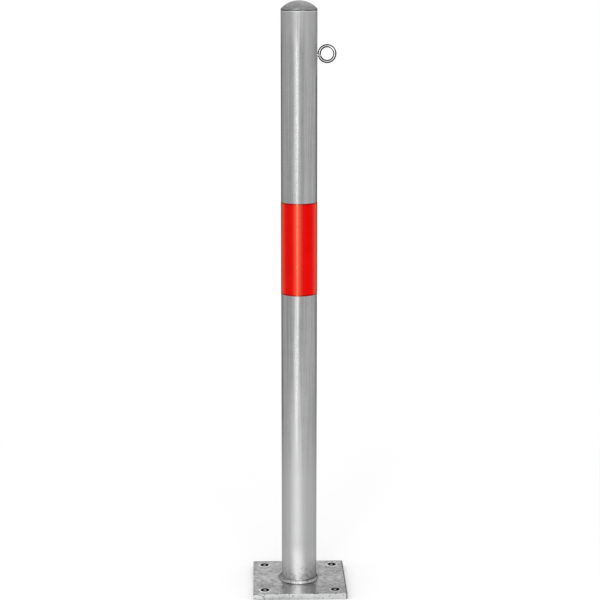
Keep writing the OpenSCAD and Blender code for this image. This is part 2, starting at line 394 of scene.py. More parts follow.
def zinc(name, dark, light, rough, grain, streak=(1, 1, 1), streak_scale=300, edge=0.6,
         marks=None, cloudy=0.38, spangle=0.12):
    """Zinc between two greys and two roughnesses, with grain (in mm) and a piece's marks."""
    material, tree, shader, place = finish(name)
    patches = cloud(tree, place, 45, 4)
    streaks = cloud(tree, place, streak_scale, 4, streak, 0.6)
    crystals = node(tree, "ShaderNodeTexVoronoi", {"Vector": place, "Scale": 150})
    crystal = node(tree, "ShaderNodeSeparateColor", {0: crystals.outputs["Color"]}).outputs[0]
    mixed = sums(tree, "MULTIPLY_ADD", streaks, 1.0 - cloudy - spangle,
                 sums(tree, "MULTIPLY", patches, cloudy))
    mixed = sums(tree, "MULTIPLY_ADD", crystal, spangle, mixed)
    colour = blend(tree, spread(tree, mixed, 0.32, 0.68, 0, 1), cool(dark), cool(light))
    roughness = spread(tree, patches, 0.3, 0.7, *rough)
    shader.inputs["Metallic"].default_value = 1.0
    shader.inputs["Specular Tint"].default_value = (edge, edge, edge, 1)
    if marks:
        colour, roughness, *metal = marks(tree, place, colour, roughness)
        for socket in metal:
            tree.links.new(socket, shader.inputs["Metallic"])
    tree.links.new(colour, shader.inputs["Base Color"])
    tree.links.new(roughness, shader.inputs["Roughness"])
    height = sums(tree, "MULTIPLY_ADD", streaks, 0.6, cloud(tree, place, 900, 3, streak))
    bump = node(tree, "ShaderNodeBump", {"Height": height, "Strength": 1.0,
                                         "Distance": grain * mm})
    tree.links.new(bump.outputs[0], shader.inputs["Normal"])
    return material


# The grey of painted shade in the cap joint, along the weld's toe, under its lip and inside the holes.
painted_shade_grey = 0.02
print("zinc greys", cool(0.28), cool(0.44), "painted_shade_grey", painted_shade_grey)

# %% [markdown]
# ### The tube's zinc
# The streaks are long and quiet. The head is a little rougher, and the foot is paler and
# rougher, which widens the lamp's image there; the lowest few centimetres are painted paler
# still, as light. A painted highlight streak and painted shade on the right side at the foot
# stand for light, and small stains sit above the weld. The cut end is a thin bright ring, with
# painted shade in the joint below the cap. Beside the eye the zinc is duller.

# %% Marks on the tube
def uneven_joint_shade(tree, place):
    """Painted shade in the joint between the tube and the cap, uneven round it."""
    return blotches(tree, place, 75, 0.4, 0.56, 1, least=0.45)


def tube_marks(tree, place, colour, roughness):
    """The changes in the tube's zinc from its head down to its foot."""
    side, _, height = axes(tree, place)
    level = sums(tree, "MULTIPLY_ADD", cloud(tree, place, 14, 2), 50 * mm, height)
    head = spread(tree, height, tube_top - 60 * mm, tube_top - 25 * mm, 0, 1)
    foot = spread(tree, level, 0.22, 0.32, 0.8, 0)
    low = spread(tree, height, 30 * mm, 80 * mm, 0.6, 0)
    colour = blend(tree, times(tree, head, 0.28), colour, cool(0.46))
    colour = blend(tree, foot, colour, cool(0.43))
    # Painted light: the lowest few centimetres are made paler still.
    colour = blend(tree, low, colour, cool(0.53))
    dull = times(tree, spread(tree, side, 12 * mm, 24 * mm, 0, 0.3),
                 spread(tree, off(tree, height, eye_z), 18 * mm, 40 * mm, 1, 0))
    roughness = sums(tree, "MULTIPLY_ADD", head, 0.2, roughness)
    roughness = sums(tree, "ADD", roughness, spread(tree, level, 0.24, 0.40, 0.24, 0))
    roughness = sums(tree, "ADD", roughness, dull)
    # A painted highlight: a pale streak down the front of the foot.
    painted_highlight = times(tree, low, spread(tree, off(tree, side, -2 * mm), 6 * mm, 14 * mm, 1, 0))
    colour = blend(tree, painted_highlight, colour, cool(0.72))
    # Painted shade on the right side of the foot.
    shade = times(tree, spread(tree, side, 10 * mm, 25 * mm, 0, 0.5),
                  spread(tree, height, 20 * mm, 55 * mm, 1, 0))
    colour = blend(tree, shade, colour, 0.2)
    stain = times(tree, spread(tree, height, 25 * mm, 50 * mm, 0.45, 0),
                  blotches(tree, place, 160, 0.5, 0.66, 4))
    colour = blend(tree, stain, colour, 0.12)
    bright = spread(tree, height, tube_top - 2.8 * mm, tube_top - 2.0 * mm, 0, 0.6)
    colour = blend(tree, bright, colour, 0.62)
    # Painted shade in the joint below the cap.
    joint = spread(tree, height, tube_top - 1.1 * mm, tube_top - 0.8 * mm, 0, 0.95)
    return blend(tree, times(tree, joint, uneven_joint_shade(tree, place)), colour, painted_shade_grey), roughness


tube_zinc = zinc("Tube zinc", 0.28, 0.44, (0.24, 0.28), 0.008, streak=(1, 1, 0.012),
                 streak_scale=430, cloudy=0.10, spangle=0.03, marks=tube_marks)
print("tube zinc", len(tube_zinc.node_tree.nodes), "nodes")

# %% [markdown]
# ### The plate's zinc
# The plate is the most marked piece. The lines of this cell follow it from the weld
# outwards. A painted shadow line runs along the weld's toe in front. Each hole has a pale rim,
# painted shade inside and a painted lit spot on its front and back wall. Before the tube the
# zinc is smoother, so that the tube mirrors in it, and a pale stripe down its middle stands for
# the lamp's gleam. The front edge has a painted highlight that brightens it towards the right
# and is pitted, the right and back edges carry a dark line, painted shade lies on the top to
# the right of the tube's front, and old stains lie on the top.

# %% Marks on the plate
def oval(tree, across, across_centre, half_across, along, along_centre, half_along):
    """A distance that is 0 at an oval's centre and 1 on its outline."""
    across = sums(tree, "DIVIDE", sums(tree, "SUBTRACT", across, across_centre), half_across)
    along = sums(tree, "DIVIDE", sums(tree, "SUBTRACT", along, along_centre), half_along)
    return radius_of(tree, across, along)


def toe_line(tree, place, x, y, colour):
    """The painted shadow line along the weld's toe, weaker towards the sides."""
    toe = off(tree, radius_of(tree, x, y), tube_r + 6.8 * mm)
    line = times(tree, spread(tree, toe, 0.6 * mm, 1.5 * mm, 0.95, 0),
                 spread(tree, y, -22 * mm, -10 * mm, 1, 0.1),
                 blotches(tree, place, 60, 0.35, 0.5, least=0.5),
                 spread(tree, off(tree, x), 20 * mm, 33 * mm, 1, 0.3))
    return blend(tree, line, colour, painted_shade_grey)


def hole_marks(tree, x, y, z, colour):
    """Pale rims of the holes, painted shade inside them, and painted lit spots on their walls."""
    across = sums(tree, "SUBTRACT", off(tree, x), hole_at)
    gap = radius_of(tree, across, sums(tree, "SUBTRACT", off(tree, y), hole_at))
    rim = spread(tree, off(tree, gap, hole_r + 2 * mm), 1.0 * mm, 2.2 * mm, 0.8, 0)
    colour = blend(tree, rim, colour, cool(0.97))
    # Painted shade inside the holes.
    inside = spread(tree, gap, hole_r + 0.5 * mm, hole_r + 0.8 * mm, 1, 0)
    colour = blend(tree, times(tree, inside, 0.97), colour, painted_shade_grey)
    # Painted light: a pale, non-metallic spot on the front and back wall of each hole.
    lit = times(tree, spread(tree, off(tree, z, plate_t - 2.9 * mm), 0.8 * mm, 1.7 * mm, 1, 0),
                spread(tree, off(tree, across), 1.4 * mm, 2.8 * mm, 1, 0), inside)
    return blend(tree, lit, colour, 0.95), lit


def smooth_zone(tree, place, x, y, z, colour, roughness):
    """The smoother zinc before the tube, and a pale stripe for the lamp's gleam in it."""
    edge = cloud(tree, place, 70, 2)
    edge = sums(tree, "MULTIPLY_ADD", edge, 12 * mm, off(tree, x))
    front = spread(tree, y, -plate_half + 1.6 * mm, -plate_half + 2.4 * mm, 0, 1)
    zone = times(tree, spread(tree, y, -36 * mm, -33 * mm, front, 0),
                 spread(tree, edge, 31 * mm, 38 * mm, 1, 0),
                 spread(tree, z, plate_t - 1 * mm, plate_t - 0.5 * mm, 0, 1))
    colour = blend(tree, times(tree, zone, 0.6), colour, cool(0.72))
    gleam = times(tree, zone, spread(tree, off(tree, x, -5 * mm), 3 * mm, 11 * mm, 0.8, 0))
    colour = blend(tree, gleam, colour, 0.99)
    to_smooth = sums(tree, "SUBTRACT", 0.1, roughness)
    roughness = sums(tree, "MULTIPLY_ADD", zone, to_smooth, roughness)
    return colour, sums(tree, "MULTIPLY_ADD", gleam, 0.22, roughness)


def edge_marks(tree, place, x, y, z, face, colour):
    """A front face with pits and a painted highlight towards the right, and dark lines along the right and
    back edges.
    """
    colour = blend(tree, times(tree, face, 0.65), colour, cool(0.42))
    # A painted highlight that brightens the front face towards the right.
    colour = blend(tree, times(tree, face, spread(tree, x, -30 * mm, 40 * mm, 0, 0.6)), colour,
                   cool(0.72))
    pits = times(tree, face, spread(tree, z, plate_t - 0.9 * mm, plate_t - 0.5 * mm, 1, 0),
                 blotches(tree, place, 330, 0.62, 0.68, most=0.85))
    colour = blend(tree, pits, colour, 0.08)
    right = spread(tree, x, plate_half - 2.6 * mm, plate_half - 1.4 * mm, 0, 1)
    back = times(tree, spread(tree, y, plate_half - 3.0 * mm, plate_half - 1.5 * mm, 0, 1),
                 blotches(tree, place, 75, 0.42, 0.58, 3, 0.9, 0.2))
    return blend(tree, sums(tree, "MAXIMUM", right, back), colour, 0.06)


def plate_stains(tree, place, x, y, z, colour):
    """A curved scar at the left corner, a scorch right of the weld, and a pitted patch."""
    scar = oval(tree, x, -75 * mm, 14 * mm, z, 1 * mm, 8.5 * mm)
    scar = times(tree, spread(tree, off(tree, scar, 1.0), 0.05, 0.13, 1, 0),
                 spread(tree, y, -plate_half + 1.5 * mm, -plate_half + 3 * mm, 0.55, 0))
    colour = blend(tree, scar, colour, 0.06)
    leaning = sums(tree, "MULTIPLY_ADD", x, -7 / 12, y)
    scorch = oval(tree, x, 40 * mm, 12 * mm, leaning, -15.33 * mm, 5 * mm)
    scorch = times(tree, spread(tree, scorch, 0.3, 1.2, 0.8, 0),
                   blotches(tree, place, 110, 0.42, 0.6, 3))
    colour = blend(tree, scorch, colour, 0.10)
    pitted = oval(tree, x, -54 * mm, 16 * mm, y, -45 * mm, 10 * mm)
    pitted = times(tree, spread(tree, pitted, 0.5, 1.2, 0.6, 0),
                   blotches(tree, place, 300, 0.5, 0.6, 1, stretch=(1, 0.5, 1)))
    return blend(tree, pitted, colour, 0.16)


def plate_marks(tree, place, colour, roughness):
    """All the plate's marks, in order from the weld outwards."""
    x, y, z = axes(tree, place)
    colour = toe_line(tree, place, x, y, colour)
    colour, lit = hole_marks(tree, x, y, z, colour)
    colour, roughness = smooth_zone(tree, place, x, y, z, colour, roughness)
    face = spread(tree, y, -plate_half + 0.1 * mm, -plate_half + 0.9 * mm, 1, 0)
    roughness = sums(tree, "MULTIPLY_ADD", face, 0.2, roughness)
    colour = edge_marks(tree, place, x, y, z, face, colour)
    colour = plate_stains(tree, place, x, y, z, colour)
    # Painted shade on the top, to the right of the tube's front.
    corner = times(tree, spread(tree, x, 15 * mm, 50 * mm, 0, 0.4),
                   spread(tree, y, -50 * mm, -10 * mm, 1, 0),
                   sums(tree, "SUBTRACT", 1.0, face))
    colour = blend(tree, corner, colour, cool(0.25))
    dashes = times(tree, spread(tree, off(tree, y, -plate_half + 1.6 * mm), 1 * mm, 2 * mm, 1, 0),
                   spread(tree, z, plate_t - 0.9 * mm, plate_t - 0.6 * mm, 0, 1),
                   blotches(tree, place, 60, 0.55, 0.62, 1, 0.85, stretch=(1, 0, 0)))
    colour = blend(tree, dashes, colour, 0.07)
    return colour, roughness, sums(tree, "SUBTRACT", 1.0, lit)


plate_zinc = zinc("Plate zinc", 0.28, 0.82, (0.18, 0.34), 0.11, streak_scale=120, edge=0.8,
                  marks=plate_marks)
print("plate zinc", len(plate_zinc.node_tree.nodes), "nodes")

# %% [markdown]
# ### The zinc of the weld, the wire and the insert
# Painted shade sits under the bead's lower lip and dirt in the pits along its top, and a
# painted highlight lies on the middle of its front. The eye's wire is smooth and shiny, with
# painted dark reflections at its rims. Layer Weight draws them here, and that is this cell's
# weak point: they slide with the view and darken the eye where it is seen at an angle. A mask by
# the distance from the ring's middle plane, one minus it over the wire's radius in the place of
# the facing, would keep them on the wire.

# %% Marks on the weld and the wire
def weld_marks(tree, place, colour, roughness):
    """Painted shade below the bead, a dark line near its top on the right, dark pits in it, and a painted
    highlight in the middle of its front.
    """
    x, y, z = axes(tree, place)
    # Painted shade under the bead's lower lip, strongest in front.
    lip = times(tree, spread(tree, z, plate_t + 0.4 * mm, plate_t + 0.9 * mm, 0.85, 0),
                spread(tree, y, -20 * mm, -8 * mm, 1, 0.1),
                spread(tree, off(tree, x), 18 * mm, 30 * mm, 1, 0.2))
    colour = blend(tree, lip, colour, painted_shade_grey)
    pits = times(tree, blotches(tree, place, 380, 0.52, 0.60),
                 spread(tree, z, plate_t + 2.8 * mm, plate_t + 3.8 * mm, 0.25, 0.8))
    colour = blend(tree, pits, colour, 0.05)
    # A painted highlight on the middle of the bead's front.
    painted_highlight = times(tree, spread(tree, off(tree, x, -3 * mm), 5 * mm, 13 * mm, 0.5, 0),
                 spread(tree, y, -25 * mm, -15 * mm, 1, 0),
                 spread(tree, z, plate_t + 0.6 * mm, plate_t + 1.2 * mm, 0, 1))
    colour = blend(tree, painted_highlight, colour, cool(0.85))
    joint = times(tree, spread(tree, z, plate_t + 3.9 * mm, plate_t + 4.5 * mm, 0, 1),
                  spread(tree, x, 2 * mm, 12 * mm, 0, 0.85))
    return blend(tree, joint, colour, 0.05), roughness


def wire_marks(tree, place, colour, roughness):
    """Painted dark reflections at the rims, of uneven width, which turn with the view."""
    # Painted dark reflections at the wire's rims, drawn by the facing.
    facing = node(tree, "ShaderNodeLayerWeight", {"Blend": 0.5}).outputs["Facing"]
    uneven = blotches(tree, place, 50, 0.40, 0.64, 1, 3.8, 0.6)
    painted_dark_rims = times(tree, spread(tree, times(tree, facing, uneven), 0.028, 0.08, 0, 1),
                 spread(tree, off(tree, axes(tree, place)["Y"]), 0.9 * mm, 1.5 * mm, 0, 1))
    return blend(tree, painted_dark_rims, colour, 0.035), roughness


weld_zinc = zinc("Weld zinc", 0.26, 0.48, (0.26, 0.40), 0.14, streak_scale=400,
                 marks=weld_marks)
bright_zinc = zinc("Bright zinc", 0.725, 0.845, (0.14, 0.22), 0.01, edge=0.1,
                   marks=wire_marks)
insert_zinc = zinc("Insert zinc", 0.505, 0.625, (0.25, 0.35), 0.02)
print("zinc finishes", [m.name for m in bpy.data.materials if "zinc" in m.name])

# %% [markdown]
# ### The cap and the film
# The cap is a dull casting, darker and rougher than the zinc. Its top is painted paler as light
# from above and its lower dome darker as shade; it has a smooth rim and painted shade in the
# joint below it. The film is a red plastic with a mirroring layer in it, so part of its red is
# metallic, and its upper and lower edges are painted darker as shade. Its gloss is warm and
# strongest where it faces the viewer, for which Layer Weight drives the specular level, and it
# is duller to the right of the middle.

# %% Cap and film
def cap_marks(tree, place, colour, roughness):
    """A top painted paler as light, a lower dome painted darker as shade, a darker and smoother rim, and
    painted shade in the joint below it.
    """
    height = axes(tree, place)["Z"]
    # Painted light: the top of the dome is made paler.
    painted_top_light = spread(tree, height, tube_top + 7 * mm, post_top - 1 * mm, 0, 0.45)
    colour = blend(tree, painted_top_light, colour, cool(0.601))
    # Painted shade: the lower dome is made darker.
    painted_lower_shade = spread(tree, height, tube_top + 4 * mm, tube_top + 8 * mm, 0.4, 0)
    colour = blend(tree, painted_lower_shade, colour, cool(0.201))
    rim = spread(tree, height, tube_top + 2.2 * mm, tube_top + 3.0 * mm, 0.8, 0)
    colour = blend(tree, rim, colour, cool(0.251))
    to_smooth = sums(tree, "SUBTRACT", 0.13, roughness)
    roughness = sums(tree, "MULTIPLY_ADD", rim, to_smooth, roughness)
    # Painted shade in the joint below the cap's rim.
    joint = times(tree, spread(tree, height, tube_top + 0.4 * mm, tube_top + 0.8 * mm, 0.95, 0),
                  uneven_joint_shade(tree, place))
    return blend(tree, joint, colour, 0.03), roughness


cap_metal = zinc("Cap metal", 0.231, 0.501, (0.64, 0.76), 0.2, streak_scale=420,
                 marks=cap_marks)

red_film, film_tree, film_shader, film_place = finish("Red film")
film_tone = spread(film_tree, cloud(film_tree, film_place, 30), 0.35, 0.65, 0, 1)
film_red = blend(film_tree, film_tone, (0.72, 0.002, 0.003), (0.78, 0.003, 0.004))
film_x, film_y, film_z = axes(film_tree, film_place)
from_middle = off(film_tree, film_z, (band_low[2] + band_high[2]) / 2)
film_half = (band_high[2] - band_low[2]) / 2
# Painted shade: the film's upper and lower edges are darkened.
film_edge_shade = spread(film_tree, from_middle, film_half - 3.0 * mm, film_half - 1.8 * mm, 0, 0.85)
film_red = blend(film_tree, film_edge_shade, film_red, (0.25, 0.002, 0.004))
film_tree.links.new(film_red, film_shader.inputs["Base Color"])
film_tree.links.new(spread(film_tree, film_tone, 0, 1, 0.12, 0.14),
                    film_shader.inputs["Roughness"])
film_facing = node(film_tree, "ShaderNodeLayerWeight", {"Blend": 0.5}).outputs["Facing"]
film_gloss = node(film_tree, "ShaderNodeValToRGB", {"Fac": film_facing})
set_stops(film_gloss, [(0.0, 0.6), (0.003, 0.75), (0.01, 1.0), (0.03, 0.5), (0.06, 0.25),
                       (0.11, 0.05), (0.30, 0.03), (0.5, 0.3)])
film_dull = times(film_tree, spread(film_tree, film_x, 1 * mm, 6 * mm, 0, 0.85),
                    spread(film_tree, film_x, 16 * mm, 22 * mm, 1, 0),
                    spread(film_tree, film_y, -20 * mm, -12 * mm, 1, 0))
film_level = times(film_tree, film_gloss.outputs["Color"],
                   sums(film_tree, "SUBTRACT", 1.0, film_dull))
film_tree.links.new(film_level, film_shader.inputs["Specular IOR Level"])
film_shader.inputs["Specular Tint"].default_value = (1, 0.9, 0.42, 1)
film_shader.inputs["Metallic"].default_value = 0.6
film_shader.inputs["IOR"].default_value = 2.1
print("film", len(film_tree.nodes), "nodes")

# %% [markdown]
# ## Turned pieces
# The tube, the cap, the insert and the weld are all solids of revolution. One Geometry
# Nodes tree makes them: its input is a row of points, the section of the piece, and it
# copies that row round the axis by placing each point of a grid.

# %% The turning tree
def new_tree(name, **inputs):
    """A Geometry Nodes tree and its group input's sockets."""
    tree = bpy.data.node_groups.new(name, "GeometryNodeTree")
    tree.interface.new_socket("Geometry", in_out="OUTPUT", socket_type="NodeSocketGeometry")
    tree.interface.new_socket("Geometry", in_out="INPUT", socket_type="NodeSocketGeometry")
    for label, kind in inputs.items():
        tree.interface.new_socket(label.replace("_", " "), in_out="INPUT",
                                  socket_type="NodeSocket" + kind)
    return tree, node(tree, "NodeGroupInput").outputs


def end_tree(tree, geometry, material):
    """Closes a tree with Realize Instances and Set Material."""
    real = node(tree, "GeometryNodeRealizeInstances", {"Geometry": geometry})
    painted = node(tree, "GeometryNodeSetMaterial", {"Geometry": real.outputs[0],
                                                     "Material": material})
    node(tree, "NodeGroupOutput", {0: painted.outputs[0]})


def turned_points(tree, given, segments):
    """Turns the given row of points round Z into a closed skin."""
    rows = node(tree, "GeometryNodeAttributeDomainSize", {"Geometry": given}).outputs[0]
    columns = sums(tree, "ADD", segments, 1.0)
    grid = node(tree, "GeometryNodeMeshGrid", {"Vertices X": columns, "Vertices Y": rows})
    index = node(tree, "GeometryNodeInputIndex").outputs[0]
    row = sums(tree, "FLOORED_MODULO", index, rows)
    column = sums(tree, "FLOOR", sums(tree, "DIVIDE", index, rows))
    angle = times(tree, sums(tree, "DIVIDE", column, segments), 2 * math.pi)
    sample = node(tree, "GeometryNodeSampleIndex", data_type="FLOAT_VECTOR", domain="POINT")
    tree.links.new(given, sample.inputs["Geometry"])
    tree.links.new(node(tree, "GeometryNodeInputPosition").outputs[0], sample.inputs["Value"])
    tree.links.new(row, sample.inputs["Index"])
    radius, _, height = axes(tree, sample.outputs[0])
    place = node(tree, "ShaderNodeCombineXYZ",
                 {"X": times(tree, radius, sums(tree, "COSINE", angle)),
                  "Y": times(tree, radius, sums(tree, "SINE", angle)), "Z": height})
    moved = node(tree, "GeometryNodeSetPosition", {"Geometry": grid.outputs[0],
                                                   "Position": place.outputs[0]})
    closed = node(tree, "GeometryNodeMergeByDistance", {"Geometry": moved.outputs[0],
                                                        "Distance": 0.005 * mm})
    return closed.outputs[0]


turning, turning_in = new_tree("Turned piece", Segments="Int", Material="Material")
end_tree(turning, turned_points(turning, turning_in["Geometry"], turning_in["Segments"]),
         turning_in["Material"])
print("turning tree", len(turning.nodes), "nodes")


# %% Running a tree and finishing a piece
def evaluated_mesh(piece):
    """The piece's mesh with its modifiers in it."""
    graph = bpy.context.evaluated_depsgraph_get()
    return bpy.data.meshes.new_from_object(piece.evaluated_get(graph))


def run_tree(piece, tree, values):
    """Runs a tree on a piece and leaves the result as the piece's plain mesh."""
    step = piece.modifiers.new("Shape", "NODES")
    step.node_group = tree
    for item in tree.interface.items_tree:
        if item.in_out == "INPUT" and item.name in values:
            step[item.identifier] = values[item.name]
    mesh = evaluated_mesh(piece)
    name = piece.name
    bpy.data.objects.remove(piece)
    mesh.name = name
    return new_object(name, mesh)


def close_up(piece, nearest=0.0):
    """Merges points nearer than a distance and turns every face outwards."""
    work = bmesh.new()
    work.from_mesh(piece.data)
    if nearest:
        bmesh.ops.remove_doubles(work, verts=work.verts, dist=nearest)
    bmesh.ops.recalc_face_normals(work, faces=work.faces)
    print(piece.name, "points", len(work.verts), "open edges",
          sum(e.is_boundary for e in work.edges))
    work.to_mesh(piece.data)
    work.free()


def finish_piece(piece, cad_node, crease=35):
    """Smooth shading up to a crease, and the piece's place in the frame."""
    piece.data.shade_smooth()
    piece.data.set_sharp_from_angle(angle=math.radians(crease))
    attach(piece, "root")
    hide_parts(cad_node)
    print(piece.name, len(piece.data.polygons), "faces")


def arc(centre, radius, start, stop, steps):
    """Points on an arc in the (radius, height) plane, angles in degrees."""
    return [(centre[0] + radius * math.cos(math.radians(a)),
             centre[1] + radius * math.sin(math.radians(a)))
            for a in np.linspace(start, stop, steps + 1)]


def turn(name, section, segments, material):
    """Turns a closed section, a list of (radius, height), into a piece."""
    row = mesh_object(name, [(r, 0, z) for r, z in section])
    piece = run_tree(row, turning, {"Segments": segments, "Material": material})
    close_up(piece)
    return piece


# %% [markdown]
# ## The tube
# A welded steel tube, open at both ends, its upper outer edge rounded. The wall gets
# rings close to the insert's hole, so that the long faces above and below stay whole
# where a Boolean cuts the hole and the flat seat round it.

# %% Tube
tube_edge = 0.6 * mm
hole_rings = [screw_z - 9 * mm, screw_z + 9 * mm]
tube_section = [(tube_ir, plate_t), (tube_r, plate_t)]
tube_section += [(tube_r, z) for z in hole_rings]
tube_section += arc((tube_r - tube_edge, tube_top - tube_edge), tube_edge, 0, 90, 16)
tube_section += [(tube_ir, tube_top)]
tube_section += [(tube_ir, z) for z in reversed(hole_rings)]
tube_section += [(tube_ir, plate_t)]
tube = turn("tube", tube_section, 192, tube_zinc)


def bar_along_x(name, start, stop, radius, height, segments=96):
    """A round bar along X, used as a cutter."""
    work = bmesh.new()
    bmesh.ops.create_cone(work, cap_ends=True, segments=segments, radius1=radius,
                          radius2=radius, depth=stop - start)
    mesh = bpy.data.meshes.new(name)
    work.to_mesh(mesh)
    work.free()
    mesh.transform(Matrix.Translation(((start + stop) / 2, 0, height))
                   @ Matrix.Rotation(math.pi / 2, 4, "Y"))
    return new_object(name, mesh)


def cut(piece, cutters):
    """Cuts other meshes out of a piece, and removes them."""
    for cutter in cutters:
        step = piece.modifiers.new("Cut", "BOOLEAN")
        step.operation, step.solver, step.object = "DIFFERENCE", "EXACT", cutter
    mesh = evaluated_mesh(piece)
    piece.modifiers.clear()
    piece.data = mesh
    for cutter in cutters:
        bpy.data.objects.remove(cutter)


rim_r, seat_room, seat_depth = 5.3 * mm, 0.1 * mm, 0.2 * mm
seat_r = rim_r + seat_room
seat_x = math.sqrt(tube_r ** 2 - seat_r ** 2) - seat_depth
insert_hole_r = 4.6 * mm
cut_from, cut_to = 15 * mm, 40 * mm
cut(tube, [bar_along_x("hole", cut_from, cut_to, insert_hole_r, screw_z),
           bar_along_x("seat", seat_x, cut_to, seat_r, screw_z)])
finish_piece(tube, "post_tube", 7)

# %% [markdown]
# ## The base plate
# The plate is flame-cut, drilled and dipped. Its zinc has run into soft lumps, most of
# all on the cut edges, and stands up in a small rim round each hole. A flat box could not
# show that, so the top is a fine grid. Squares with a hole are filled by lines from the
# hole's circle to the square's sides, and the points are then moved by noise.

# %% Plate grid
drain_r = 20 * mm
hole_bevel = 0.4 * mm
plate_edge = 0.8 * mm
plate_corner = 2.5 * mm
cell = 40 * mm
flat_half = plate_half - plate_edge
squeeze = 0.86 * math.pi / 2
outer_shares = np.sin(np.linspace(0, squeeze, 29)) / math.sin(squeeze)
outer_steps = cell + (flat_half - cell) * outer_shares
middle_steps = np.linspace(-cell, cell, 51)


def rounded(points, half):
    """Pulls the points of a square's corners in to a round corner."""
    start = plate_half - plate_corner
    size = half - start
    out = points.copy()
    across = np.clip((np.abs(points) - start) / size, 0, 1)
    both = (across[:, 0] > 0) & (across[:, 1] > 0)
    a, b = across[both, 0], across[both, 1]
    sign = np.sign(points[both])
    out[both, 0] = sign[:, 0] * (start + size * a * np.sqrt(1 - b * b / 2))
    out[both, 1] = sign[:, 1] * (start + size * b * np.sqrt(1 - a * a / 2))
    return out


def grid_faces(rows, columns, first):
    """Quads of a grid of points that are counted row by row."""
    i, j = np.meshgrid(np.arange(rows - 1), np.arange(columns - 1), indexing="ij")
    low = first + (i * columns + j).ravel()
    return np.stack([low, low + columns, low + columns + 1, low + 1], axis=1)


def perimeter(x, y):
    """Points round a rectangle, anticlockwise, ending where they start."""
    low = np.stack([x, np.full(len(x), y[0])], 1)
    right = np.stack([np.full(len(y), x[-1]), y], 1)
    high = np.stack([x[::-1], np.full(len(x), y[-1])], 1)
    left = np.stack([np.full(len(y), x[0]), y[::-1]], 1)
    return np.concatenate([low[:-1], right[:-1], high[:-1], left])


def directions(edge, centre):
    """Unit vectors from a hole's centre to the points of its cell's sides."""
    away = edge - centre
    return away / np.linalg.norm(away, axis=1, keepdims=True)


def holed_cell(edge, centre, radius, rings):
    """Rings of points from a hole's circle out to the cell's sides."""
    circle = centre + radius * directions(edge, centre)
    shares = np.linspace(0, 1, rings + 1) ** 1.5
    return np.stack([circle + s * (edge - circle) for s in shares])


print("grid steps", len(outer_steps), len(middle_steps))

# %% Plate skin
class Skin:
    """Collects grids of points into one mesh."""

    def __init__(self):
        self.points, self.faces, self.count = [], [], 0

    def add(self, grid):
        rows, columns = grid.shape[:2]
        self.points.append(grid.reshape(-1, 3))
        self.faces.append(grid_faces(rows, columns, self.count))
        self.count += rows * columns


def lift(flat, height):
    """Adds a height to flat points."""
    return np.concatenate([flat, np.full((*flat.shape[:-1], 1), height)], axis=-1)


skin = Skin()
centre_edge = perimeter(middle_steps, middle_steps)
corner_edge = perimeter(outer_steps, outer_steps)
holes = [(np.zeros(2), drain_r, centre_edge, 16)]
for sx in (-1, 1):
    for sy in (-1, 1):
        holes.append((np.array([sx * hole_at, sy * hole_at]), hole_r,
                      corner_edge * [sx, sy], 22))

for level in (plate_t, 0.0):
    for centre, radius, edge, rings in holes:
        filled = holed_cell(edge, centre, radius + hole_bevel, rings)
        flat = rounded(filled.reshape(-1, 2), flat_half).reshape(filled.shape)
        skin.add(lift(flat, level))
    for side in range(4):
        x, y = np.meshgrid(middle_steps, outer_steps, indexing="ij")
        flat = np.stack([x, y], axis=-1)
        for _ in range(side):
            flat = np.stack([-flat[..., 1], flat[..., 0]], axis=-1)
        skin.add(lift(flat, level))

for centre, radius, edge, rings in holes:
    away = directions(edge, centre)
    wall = [(radius + hole_bevel, plate_t), (radius, plate_t - hole_bevel),
            (radius, plate_t / 2), (radius, hole_bevel), (radius + hole_bevel, 0.0)]
    skin.add(np.stack([lift(centre + r * away, z) for r, z in wall]))

rim_steps = np.concatenate([-outer_steps[::-1], middle_steps[1:-1], outer_steps])
upper_edge = [(plate_edge * (1 - math.sin(t)), plate_t - plate_edge * (1 - math.cos(t)))
              for t in np.linspace(0, math.pi / 2, 6)]
side_rows = [(0.0, z) for z in np.linspace(plate_t - plate_edge, plate_edge, 8)[1:-1]]
lower_edge = [(inset, plate_t - z) for inset, z in reversed(upper_edge)]
rim = []
for inset, z in upper_edge + side_rows + lower_edge:
    half = plate_half - inset
    steps = rim_steps * half / flat_half
    rim.append(lift(rounded(perimeter(steps, steps), half), z))
skin.add(np.stack(rim))

plate = mesh_object("plate", np.concatenate(skin.points), np.concatenate(skin.faces))
plate.data.materials.append(plate_zinc)
close_up(plate, 0.01 * mm)

# %% Lumps in the plate's zinc
lump_size, lump_height, edge_loss = 9 * mm, 0.11 * mm, 0.14 * mm
rim_height, rim_width = 0.3 * mm, 1.6 * mm


def lumps(point, size, seed):
    """Smooth noise between -1 and 1, about size across."""
    return noise.fractal(Vector(point) / size + Vector((seed, seed, seed)), 0.6, 2.0, 3)


work = bmesh.new()
work.from_mesh(plate.data)
work.normal_update()
moves = []
for vert in work.verts:
    up = max(vert.normal.z, 0.0)
    above_ground = min(max((vert.co.z - 0.5 * mm) / (2 * mm), 0.0), 1.0)
    lump = lumps(vert.co, lump_size, 3.7)
    shift = lump_height * lump - edge_loss * (1 - up) * (1 + lump)
    if up > 0.3:
        for x in (-hole_at, hole_at):
            for y in (-hole_at, hole_at):
                gap = math.hypot(vert.co.x - x, vert.co.y - y) - hole_r - hole_bevel
                shift += rim_height * math.exp(-(gap / rim_width) ** 2) * up
    moves.append(vert.normal * shift * above_ground)
for vert, move in zip(work.verts, moves):
    vert.co += move
    vert.co.x = min(max(vert.co.x, -plate_half), plate_half)
    vert.co.y = min(max(vert.co.y, -plate_half), plate_half)
work.to_mesh(plate.data)
work.free()
finish_piece(plate, "base_plate", 50)

